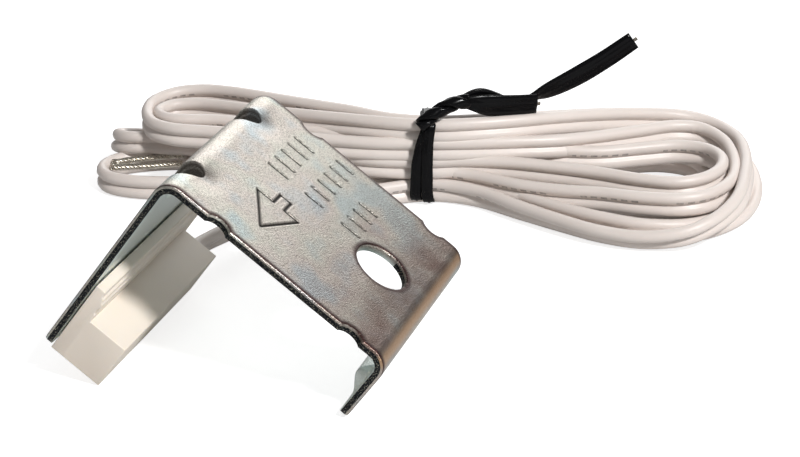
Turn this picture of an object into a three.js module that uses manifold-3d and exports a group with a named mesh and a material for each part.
// Door position sensor: a zinc-plated sheet-steel clip that saddles a rail, with a magnetic
// reed switch in a moulded block inside its long leg, and a flat two-core lead in a tied hank.
// Millimetres, +Z up. The part lies as it comes to rest on a bench: on the lower edge of the
// sensor block and the end of the short leg, with the clip tipped over about the Y axis.

import * as THREE from 'three';
import { mergeVertices } from 'three/addons/utils/BufferGeometryUtils.js';
import Module from 'manifold-3d';

const wasm = await Module();
wasm.setup();

// ---- driving dimensions -------------------------------------------------------------

// Clip, in its own frame: X across the rail, Y along it, Z up, the plate's top at Z = 0.
const plateLength = 31;
const clipDepth = 29;
const steel = 1;
const bendRadius = 2.3;
const longLeg = 26.3;
const shortLeg = 9;
const legCornerRadius = 1;
const screwHole = { x: 23.8, y: 14.7, radius: 3.2 };
const notch = { places: [7.6, 25.7], chord: 2.8, depth: 0.8 };
const gusset = { fromEdge: 6, width: 5.2, alongPlate: 3.7, downLeg: 6.4 };
const gripBead = { fromEdge: 1.6, top: 1.9, bottom: 7.8, crestTop: 4.4, crestBottom: 5.9, reach: 1.5 };

// Sensor housing: a flange against the long leg with a block at its foot.
const legGap = 0.2;
const flangeThickness = 1.8;
const flangeHeight = 10.2;
const flangeLength = 30;
const blockWidth = 4.95;
const blockHeight = 6;
const blockLength = 26.7;
const cavity = { width: 3.4, height: 4.2, frontWall: 1.2 };
const padRecess = { depth: 0.7, border: 1.2 };
const padThickness = 0.4;

// Flat two-core lead.
const coreDiameter = 1.6;
const jointGap = 0.3;
const conductorRadius = 0.38;

// Reed switch, in line with the upper core.
const capsule = { front: 4.4, length: 11, radius: 0.95, bore: 0.62, sealLength: 1.6 };
const leadRadius = 0.25;
const blade = { width: 0.8, thickness: 0.16, overlap: 1.4, contactGap: 0.3 };
const sleeve = { length: 2.6, radius: 0.62, bore: 0.46 };
const coreStart = 21.8;
const sealPlugLength = 2.4;

// Hank, in its own frame: X along it, Y across it, the tie's waist at the origin.
const hankPlace = { x: 5.3, y: 47.2, turn: THREE.MathUtils.degToRad(18) };
const hankHeight = 12.8;
const waist = { halfWidth: 2.5, halfLength: 4 };
const leftLobe = { x: -34, y: 8.6, radius: 10.2 };
const rightLobe = { x: 23.6, y: -0.5, radius: 18.8 };
const stripped = { x: -42, y: 6.4, z: 2.6, length: 9.5, spacing: 1.2 };

// Twist tie: a flat plastic ribbon with a wire core.
const ribbon = { width: 2.6, thickness: 0.7, wireRadius: 0.22 };
const tieBand = { width: 3.2, gap: 0.3 };

// ---- derived places -----------------------------------------------------------------

const flangeX = steel + legGap;
const blockX = flangeX + flangeThickness;
const blockEdgeX = blockX + blockWidth;
const blockTop = blockHeight - longLeg;
const cavityX = blockX + 0.4;
const coreX = cavityX + cavity.width / 2;
const coreMidZ = -longLeg + blockHeight / 2;
const upperZ = coreMidZ + coreDiameter / 2;
const lowerZ = coreMidZ - coreDiameter / 2;
const tip = Math.atan2(longLeg - shortLeg, plateLength - blockEdgeX);

// ---- helpers ------------------------------------------------------------------------

function toSolid(geometry) {
  const bare = geometry.clone();
  bare.deleteAttribute('normal');
  bare.deleteAttribute('uv');
  const merged = mergeVertices(bare, 1e-4);
  return new wasm.Manifold(new wasm.Mesh({
    numProp: 3,
    vertProperties: new Float32Array(merged.attributes.position.array),
    triVerts: new Uint32Array(merged.index.array),
  }));
}

function toGeometry(solid) {
  const mesh = solid.getMesh();
  const geometry = new THREE.BufferGeometry();
  geometry.setAttribute('position', new THREE.BufferAttribute(new Float32Array(mesh.vertProperties), 3));
  geometry.setIndex(new THREE.BufferAttribute(new Uint32Array(mesh.triVerts), 1));
  geometry.computeVertexNormals();
  return geometry;
}

const join = (first, ...rest) => toGeometry(rest.reduce((sum, next) => sum.add(toSolid(next)), toSolid(first)));
const cut = (body, ...tools) => toGeometry(tools.reduce((sum, next) => sum.subtract(toSolid(next)), toSolid(body)));

// A box given by its lowest and highest corners.
function boxBetween(low, high) {
  const size = high.map((value, axis) => value - low[axis]);
  const geometry = new THREE.BoxGeometry(...size);
  geometry.translate(...low.map((value, axis) => value + size[axis] / 2));
  return geometry;
}

// A cylinder along Y from one Y to another.
function rodAlongY(radius, x, z, fromY, toY, sides = 16) {
  const geometry = new THREE.CylinderGeometry(radius, radius, toY - fromY, sides);
  geometry.translate(x, (fromY + toY) / 2, z);
  return geometry;
}

// An outline in X and Z, pushed along Y.
function pushAlongY(outline, fromY, toY) {
  const geometry = new THREE.ExtrudeGeometry(outline, { depth: toY - fromY, bevelEnabled: false, curveSegments: 8 });
  geometry.rotateX(Math.PI / 2);
  geometry.translate(0, toY, 0);
  return geometry;
}

function polygon(points) {
  return new THREE.Shape(points.map(([x, y]) => new THREE.Vector2(x, y)));
}

function alongCurve(outline, curve, steps) {
  return new THREE.ExtrudeGeometry(outline, { extrudePath: curve, steps, bevelEnabled: false, curveSegments: 3 });
}

function disc(radius, sides) {
  const outline = new THREE.Shape();
  for (let side = 0; side < sides; side += 1) {
    const angle = (side / sides) * Math.PI * 2;
    const point = [radius * Math.cos(angle), radius * Math.sin(angle)];
    if (side === 0) outline.moveTo(...point);
    else outline.lineTo(...point);
  }
  outline.closePath();
  return outline;
}

// A round ring along Y: a closed outline turned about the axis.
function ringAlongY(profile, x, z) {
  const geometry = new THREE.LatheGeometry(profile.map(([r, y]) => new THREE.Vector2(r, y)), 20);
  geometry.translate(x, 0, z);
  return geometry;
}

const zincLook = { color: 0xc3c6c4, roughness: 0.32, metalness: 0.9 };
const ivoryLook = { color: 0xe9e2d0, roughness: 0.45, metalness: 0 };
const cordLook = { color: 0xe6dcd6, roughness: 0.42, metalness: 0 };
const tinnedLook = { color: 0xb9b6ae, roughness: 0.35, metalness: 0.95 };

function addPiece(group, name, geometry, look) {
  const piece = new THREE.Mesh(geometry, new THREE.MeshStandardMaterial(look));
  piece.name = name;
  group.add(piece);
}

// ---- rail clip ----------------------------------------------------------------------

// The strip's section: down the long leg, round both bends and down the short leg.
function clipSection() {
  const inner = bendRadius - steel;
  const right = plateLength - bendRadius;
  const outline = new THREE.Shape();
  outline.moveTo(0, -longLeg);
  outline.lineTo(0, -bendRadius);
  outline.absarc(bendRadius, -bendRadius, bendRadius, Math.PI, Math.PI / 2, true);
  outline.lineTo(right, 0);
  outline.absarc(right, -bendRadius, bendRadius, Math.PI / 2, 0, true);
  outline.lineTo(plateLength, -shortLeg);
  outline.lineTo(plateLength - steel, -shortLeg);
  outline.lineTo(plateLength - steel, -bendRadius);
  outline.absarc(right, -bendRadius, inner, 0, Math.PI / 2, false);
  outline.lineTo(bendRadius, -steel);
  outline.absarc(bendRadius, -bendRadius, inner, Math.PI / 2, Math.PI, false);
  outline.lineTo(steel, -longLeg);
  outline.closePath();
  return outline;
}

// Two pressed gussets stiffen the long leg's bend: each is a dent outside and, one steel
// thickness further in, a swelling inside.
function gussetShapes(middleY) {
  const { alongPlate, downLeg, width } = gusset;
  const slope = Math.atan2(alongPlate, downLeg);
  const growPlate = steel / Math.cos(slope);
  const growLeg = steel / Math.sin(slope);
  const root = steel / 2;
  const dent = polygon([
    [-1, 1],
    [alongPlate + alongPlate / downLeg, 1],
    [-1, -downLeg - downLeg / alongPlate],
  ]);
  const swell = polygon([
    [root, -root],
    [alongPlate + growPlate - (alongPlate / downLeg) * root, -root],
    [root, -downLeg - growLeg + (downLeg / alongPlate) * root],
  ]);
  const half = width / 2;
  return {
    dent: pushAlongY(dent, middleY - half + root, middleY + half - root),
    swell: pushAlongY(swell, middleY - half, middleY + half),
  };
}

// A bead pressed into the short leg catches the rail's edge: a groove outside, a ridge inside.
function gripBeadShapes() {
  const { fromEdge, top, bottom, crestTop, crestBottom, reach } = gripBead;
  const section = (faceX, crestX, shrink) => polygon([
    [faceX, -top - shrink],
    [crestX, -crestTop],
    [crestX, -crestBottom],
    [faceX, -bottom + shrink],
  ]);
  const ridge = section(plateLength - steel / 2, plateLength - steel - reach, -0.4);
  const groove = section(plateLength + steel / 2, plateLength - reach, 0.2);
  return {
    ridge: pushAlongY(ridge, fromEdge, clipDepth - fromEdge),
    groove: pushAlongY(groove, fromEdge + steel / 2, clipDepth - fromEdge - steel / 2),
  };
}

function railClip() {
  const bead = gripBeadShapes();
  const gussets = [gusset.fromEdge, clipDepth - gusset.fromEdge].map(gussetShapes);
  const swells = [bead.ridge, ...gussets.map((shapes) => shapes.swell)];
  const dents = [bead.groove, ...gussets.map((shapes) => shapes.dent)];
  const cuts = [];
  const screw = new THREE.CylinderGeometry(screwHole.radius, screwHole.radius, steel * 4, 32);
  screw.rotateX(Math.PI / 2);
  screw.translate(screwHole.x, screwHole.y, 0);
  cuts.push(screw);
  const notchRadius = (notch.chord ** 2 / 4 + notch.depth ** 2) / (2 * notch.depth);
  for (const x of notch.places) {
    for (const y of [notch.depth - notchRadius, clipDepth - notch.depth + notchRadius]) {
      const bite = new THREE.CylinderGeometry(notchRadius, notchRadius, steel * 3, 24);
      bite.rotateX(Math.PI / 2);
      bite.translate(x, y, -steel / 2);
      cuts.push(bite);
    }
  }
  const legEnds = [{ x: steel / 2, z: -longLeg }, { x: plateLength - steel / 2, z: -shortLeg }];
  for (const { x, z } of legEnds) {
    for (const y of [0, clipDepth]) {
      const corner = new THREE.BoxGeometry(steel * 3, legCornerRadius, legCornerRadius);
      corner.rotateX(Math.PI / 4);
      corner.translate(x, y, z);
      cuts.push(corner);
    }
  }
  return cut(join(pushAlongY(clipSection(), 0, clipDepth), ...swells), ...dents, ...cuts);
}

// ---- sensor housing, pad and end seal -------------------------------------------------

function sensorHousing() {
  const outline = polygon([
    [flangeX, -longLeg],
    [blockX, -longLeg],
    [blockX, -longLeg + flangeHeight],
    [flangeX, -longLeg + flangeHeight],
  ]);
  const flange = pushAlongY(outline, 0, flangeLength);
  const block = boxBetween([blockX - 0.5, 0, -longLeg], [blockEdgeX, blockLength, blockTop]);
  const hollow = boxBetween(
    [cavityX, cavity.frontWall, coreMidZ - cavity.height / 2],
    [cavityX + cavity.width, blockLength + 1, coreMidZ + cavity.height / 2],
  );
  const recess = boxBetween(
    [flangeX - 1, padRecess.border, -longLeg + padRecess.border],
    [flangeX + padRecess.depth, clipDepth - padRecess.border, -longLeg + flangeHeight - padRecess.border],
  );
  return cut(join(flange, block), hollow, recess);
}

function mountingPad() {
  const inset = padRecess.border + jointGap;
  const x = steel + legGap * 0.75;
  return boxBetween([x, inset, inset - longLeg], [x + padThickness, clipDepth - inset, flangeHeight - inset - longLeg]);
}

function endSeal() {
  const play = 0.15;
  const front = blockLength - sealPlugLength;
  const plug = boxBetween(
    [cavityX + play, front, coreMidZ - cavity.height / 2 + play],
    [cavityX + cavity.width - play, blockLength - play, coreMidZ + cavity.height / 2 - play],
  );
  const radius = coreDiameter / 2 + play;
  const holes = [upperZ, lowerZ].map((z) => rodAlongY(radius, coreX, z, front - 1, blockLength + 1));
  return cut(plug, ...holes);
}

// ---- reed switch ----------------------------------------------------------------------

function reedCapsule() {
  const { front, length, radius, bore, sealLength } = capsule;
  const back = front + length;
  const throat = leadRadius + 0.08;
  return ringAlongY([
    [throat, front],
    [radius * 0.7, front],
    [radius, front + 0.6],
    [radius, back - 0.6],
    [radius * 0.7, back],
    [throat, back],
    [throat, back - sealLength],
    [bore, back - sealLength - 0.4],
    [bore, front + sealLength + 0.4],
    [throat, front + sealLength],
    [throat, front],
  ], coreX, upperZ);
}

const sealFront = capsule.front + capsule.sealLength;
const sealBack = capsule.front + capsule.length - capsule.sealLength;
const capsuleMiddle = capsule.front + capsule.length / 2;
const bladeRoot = 0.15;

// side -1 is the front blade, which lies low; side 1 is the rear blade, which lies high.
function reedBlade(side) {
  const z = upperZ + side * (blade.contactGap + blade.thickness) / 2;
  const free = capsuleMiddle - side * blade.overlap / 2;
  const root = side < 0 ? sealFront + bladeRoot : sealBack - bladeRoot;
  const ends = [free, root].sort((a, b) => a - b);
  return boxBetween(
    [coreX - blade.width / 2, ends[0], z - blade.thickness / 2],
    [coreX + blade.width / 2, ends[1], z + blade.thickness / 2],
  );
}

const spliceY = coreStart - 3;

// The rear lead runs straight from the glass to its solder sleeve.
function rearLead() {
  return rodAlongY(leadRadius, coreX, upperZ, sealBack, spliceY - jointGap / 2, 12);
}

// The front lead leaves the glass forwards, folds under the capsule and runs back to its sleeve.
function frontLead() {
  const turn = coreDiameter / 2;
  const bendY = capsule.front - 0.9;
  const path = new THREE.CurvePath();
  path.add(new THREE.LineCurve3(
    new THREE.Vector3(coreX, sealFront, upperZ),
    new THREE.Vector3(coreX, bendY, upperZ),
  ));
  const arc = [];
  for (let step = 0; step <= 8; step += 1) {
    const angle = (step / 8) * Math.PI;
    arc.push(new THREE.Vector3(coreX, bendY - turn * Math.sin(angle), coreMidZ + turn * Math.cos(angle)));
  }
  path.add(new THREE.CatmullRomCurve3(arc));
  path.add(new THREE.LineCurve3(
    new THREE.Vector3(coreX, bendY, lowerZ),
    new THREE.Vector3(coreX, spliceY - jointGap / 2, lowerZ),
  ));
  return alongCurve(disc(leadRadius, 8), path, 48);
}

function solderSleeve(z) {
  const { length, radius, bore } = sleeve;
  const from = spliceY - length / 2;
  const to = spliceY + length / 2;
  return ringAlongY([[bore, from], [radius, from], [radius, to], [bore, to], [bore, from]], coreX, z);
}

// ---- the clip and its sensor, in the clip's own frame ----------------------------------

const clip = new THREE.Group();
addPiece(clip, 'rail_clip', railClip(), zincLook);
addPiece(clip, 'sensor_housing', sensorHousing(), ivoryLook);
addPiece(clip, 'mounting_pad', mountingPad(), { color: 0x6f6a62, roughness: 0.9, metalness: 0 });
addPiece(clip, 'end_seal', endSeal(), { color: 0xd8cfb8, roughness: 0.35, metalness: 0 });
addPiece(clip, 'reed_capsule', reedCapsule(), { color: 0x9fc2a4, roughness: 0.08, metalness: 0 });
addPiece(clip, 'front_blade', reedBlade(-1), tinnedLook);
addPiece(clip, 'rear_blade', reedBlade(1), tinnedLook);
addPiece(clip, 'front_lead', frontLead(), tinnedLook);
addPiece(clip, 'rear_lead', rearLead(), tinnedLook);
for (const [place, z] of [['upper', upperZ], ['lower', lowerZ]]) {
  const bareEnd = coreStart - jointGap;
  addPiece(clip, `${place}_solder_sleeve`, solderSleeve(z), tinnedLook);
  addPiece(clip, `${place}_conductor`, rodAlongY(conductorRadius, coreX, z, spliceY + jointGap / 2, bareEnd), tinnedLook);
  addPiece(clip, `${place}_core`, rodAlongY(coreDiameter / 2 - 0.02, coreX, z, coreStart, blockLength), cordLook);
}

// Tip the clip until the block's lower edge and the short leg's end stand on the table, and
// centre it over the origin.
clip.rotation.y = tip;
clip.updateMatrix();
const spin = clip.matrix.clone();
const spun = (x, y, z) => new THREE.Vector3(x, y, z).applyMatrix4(spin);
const restEdge = spun(blockEdgeX, 0, -longLeg);
const leftmost = spun(0, 0, -longLeg).x;
const rightmost = spun(plateLength - bendRadius, 0, -bendRadius).x + bendRadius;
clip.position.set(-(leftmost + rightmost) / 2, -flangeLength / 2, -restEdge.z);
clip.updateMatrix();
const onClip = (x, y, z) => new THREE.Vector3(x, y, z).applyMatrix4(clip.matrix);

// ---- hank -----------------------------------------------------------------------------

const hankGroup = new THREE.Group();
hankGroup.rotation.z = hankPlace.turn;
hankGroup.position.set(hankPlace.x, hankPlace.y, 0);
hankGroup.updateMatrix();
const onHank = (x, y, z) => new THREE.Vector3(x, y, z).applyMatrix4(hankGroup.matrix);

function hankSolid() {
  const outline = new THREE.Shape();
  outline.moveTo(-waist.halfLength, -waist.halfWidth);
  outline.lineTo(leftLobe.x, leftLobe.y - leftLobe.radius);
  outline.absarc(leftLobe.x, leftLobe.y, leftLobe.radius, -Math.PI / 2, Math.PI / 2, true);
  outline.lineTo(-waist.halfLength, waist.halfWidth);
  outline.lineTo(waist.halfLength, waist.halfWidth);
  outline.lineTo(rightLobe.x, rightLobe.y + rightLobe.radius);
  outline.absarc(rightLobe.x, rightLobe.y, rightLobe.radius, Math.PI / 2, -Math.PI / 2, true);
  outline.lineTo(waist.halfLength, -waist.halfWidth);
  outline.closePath();
  const body = new THREE.ExtrudeGeometry(outline, { depth: hankHeight, bevelEnabled: false, curveSegments: 20 });
  const underTie = boxBetween(
    [-tieBand.width / 2 - tieBand.gap, -waist.halfWidth - 1, -1],
    [tieBand.width / 2 + tieBand.gap, waist.halfWidth + 1, ribbon.thickness + tieBand.gap],
  );
  const pocket = boxBetween(
    [leftLobe.x - leftLobe.radius - 1, stripped.y - 3, 0.8],
    [stripped.x + stripped.length + 1.5, stripped.y + 5.5, 4.6],
  );
  return cut(body, underTie, pocket);
}

addPiece(hankGroup, 'hank', hankSolid(), cordLook);

// The free end's two cores are stripped: each leaves a short bundle of tinned strands.
for (const [name, side] of [['upper', 1], ['lower', -1]]) {
  const rise = side * stripped.spacing / 2;
  const bundle = new THREE.LineCurve3(
    new THREE.Vector3(stripped.x, stripped.y + rise * 0.6, stripped.z + rise * 0.8),
    new THREE.Vector3(stripped.x + stripped.length, stripped.y + 3 + rise * 0.6, stripped.z + rise * 0.8),
  );
  addPiece(hankGroup, `${name}_stripped_end`, alongCurve(disc(conductorRadius, 8), bundle, 1), tinnedLook);
}

// ---- twist tie ------------------------------------------------------------------------

function twistTie() {
  const half = waist.halfWidth + tieBand.gap;
  const outerHalf = half + ribbon.thickness;
  const top = hankHeight + tieBand.gap + ribbon.thickness;
  const outer = boxBetween([-tieBand.width / 2, -outerHalf, 0], [tieBand.width / 2, outerHalf, top]);
  const inner = boxBetween(
    [-tieBand.width, -half, ribbon.thickness],
    [tieBand.width, half, top - ribbon.thickness],
  );
  const band = cut(outer, inner);
  const neckRoot = new THREE.Vector3(0, -2, top + 0.7);
  const neckEnd = new THREE.Vector3(4.6, -1.2, top + 1.4);
  const neck = alongCurve(disc(1.1, 8), new THREE.LineCurve3(neckRoot, neckEnd), 1);
  return join(band, neck, tail(shortTail), tail(longTail));
}

// Each tail is a flat ribbon from the twisted neck.
const tieTop = hankHeight + tieBand.gap + ribbon.thickness;
const shortTail = [[4, -1.2, tieTop + 1.1], [9, -0.2, tieTop + 0.9], [14.4, 1, tieTop]];
const longTail = [[4, -1.2, tieTop + 1.3], [10, 1.2, tieTop + 1.8], [18, 3.2, tieTop + 3], [27, 4, tieTop + 7]];

function tailCurve(points) {
  return new THREE.CatmullRomCurve3(points.map((point) => new THREE.Vector3(...point)));
}

function tail(points) {
  const { width, thickness } = ribbon;
  const section = polygon([
    [-thickness / 2, -width / 2],
    [thickness / 2, -width / 2],
    [thickness / 2, width / 2],
    [-thickness / 2, width / 2],
  ]);
  return alongCurve(section, tailCurve(points), 8);
}

// The tie's wire core shows as a stub at each cut end.
function wireStub(points) {
  const curve = tailCurve(points);
  const end = curve.getPoint(1);
  const along = curve.getTangent(1);
  const from = end.clone().addScaledVector(along, 0.1);
  return alongCurve(disc(ribbon.wireRadius, 6), new THREE.LineCurve3(from, from.clone().addScaledVector(along, 0.7)), 1);
}

const tieLook = { color: 0x17171a, roughness: 0.3, metalness: 0 };
addPiece(hankGroup, 'twist_tie', twistTie(), tieLook);
addPiece(hankGroup, 'short_tail_wire', wireStub(shortTail), tinnedLook);
addPiece(hankGroup, 'long_tail_wire', wireStub(longTail), tinnedLook);

// ---- lead from the block to the hank -----------------------------------------------------

// The flat lead leaves the block with its cores one above the other, sinks to the table and
// meets the hank's waist from the left.
function lead() {
  const start = onClip(coreX, blockLength + jointGap, coreMidZ);
  const meet = onHank(-waist.halfLength, -waist.halfWidth - jointGap, coreDiameter);
  const route = new THREE.CatmullRomCurve3([
    start,
    start.clone().add(new THREE.Vector3(0.3, 3, -0.1)),
    start.clone().lerp(meet, 0.33).setZ(2.8),
    start.clone().lerp(meet, 0.66).setZ(1.9),
    meet.clone().add(new THREE.Vector3(-1.2, -1.6, 0)),
  ]);
  const across = coreDiameter / 2;
  const section = polygon([
    [-across * 0.4, -coreDiameter],
    [across * 0.4, -coreDiameter],
    [across, -across * 1.4],
    [across, across * 1.4],
    [across * 0.4, coreDiameter],
    [-across * 0.4, coreDiameter],
    [-across, across * 1.4],
    [-across, -across * 1.4],
  ]);
  return alongCurve(section, route, 12);
}

// ---- assembly ---------------------------------------------------------------------------

const doorSensor = new THREE.Group();
doorSensor.add(clip);
doorSensor.add(hankGroup);
addPiece(doorSensor, 'lead', lead(), cordLook);

export default doorSensor;
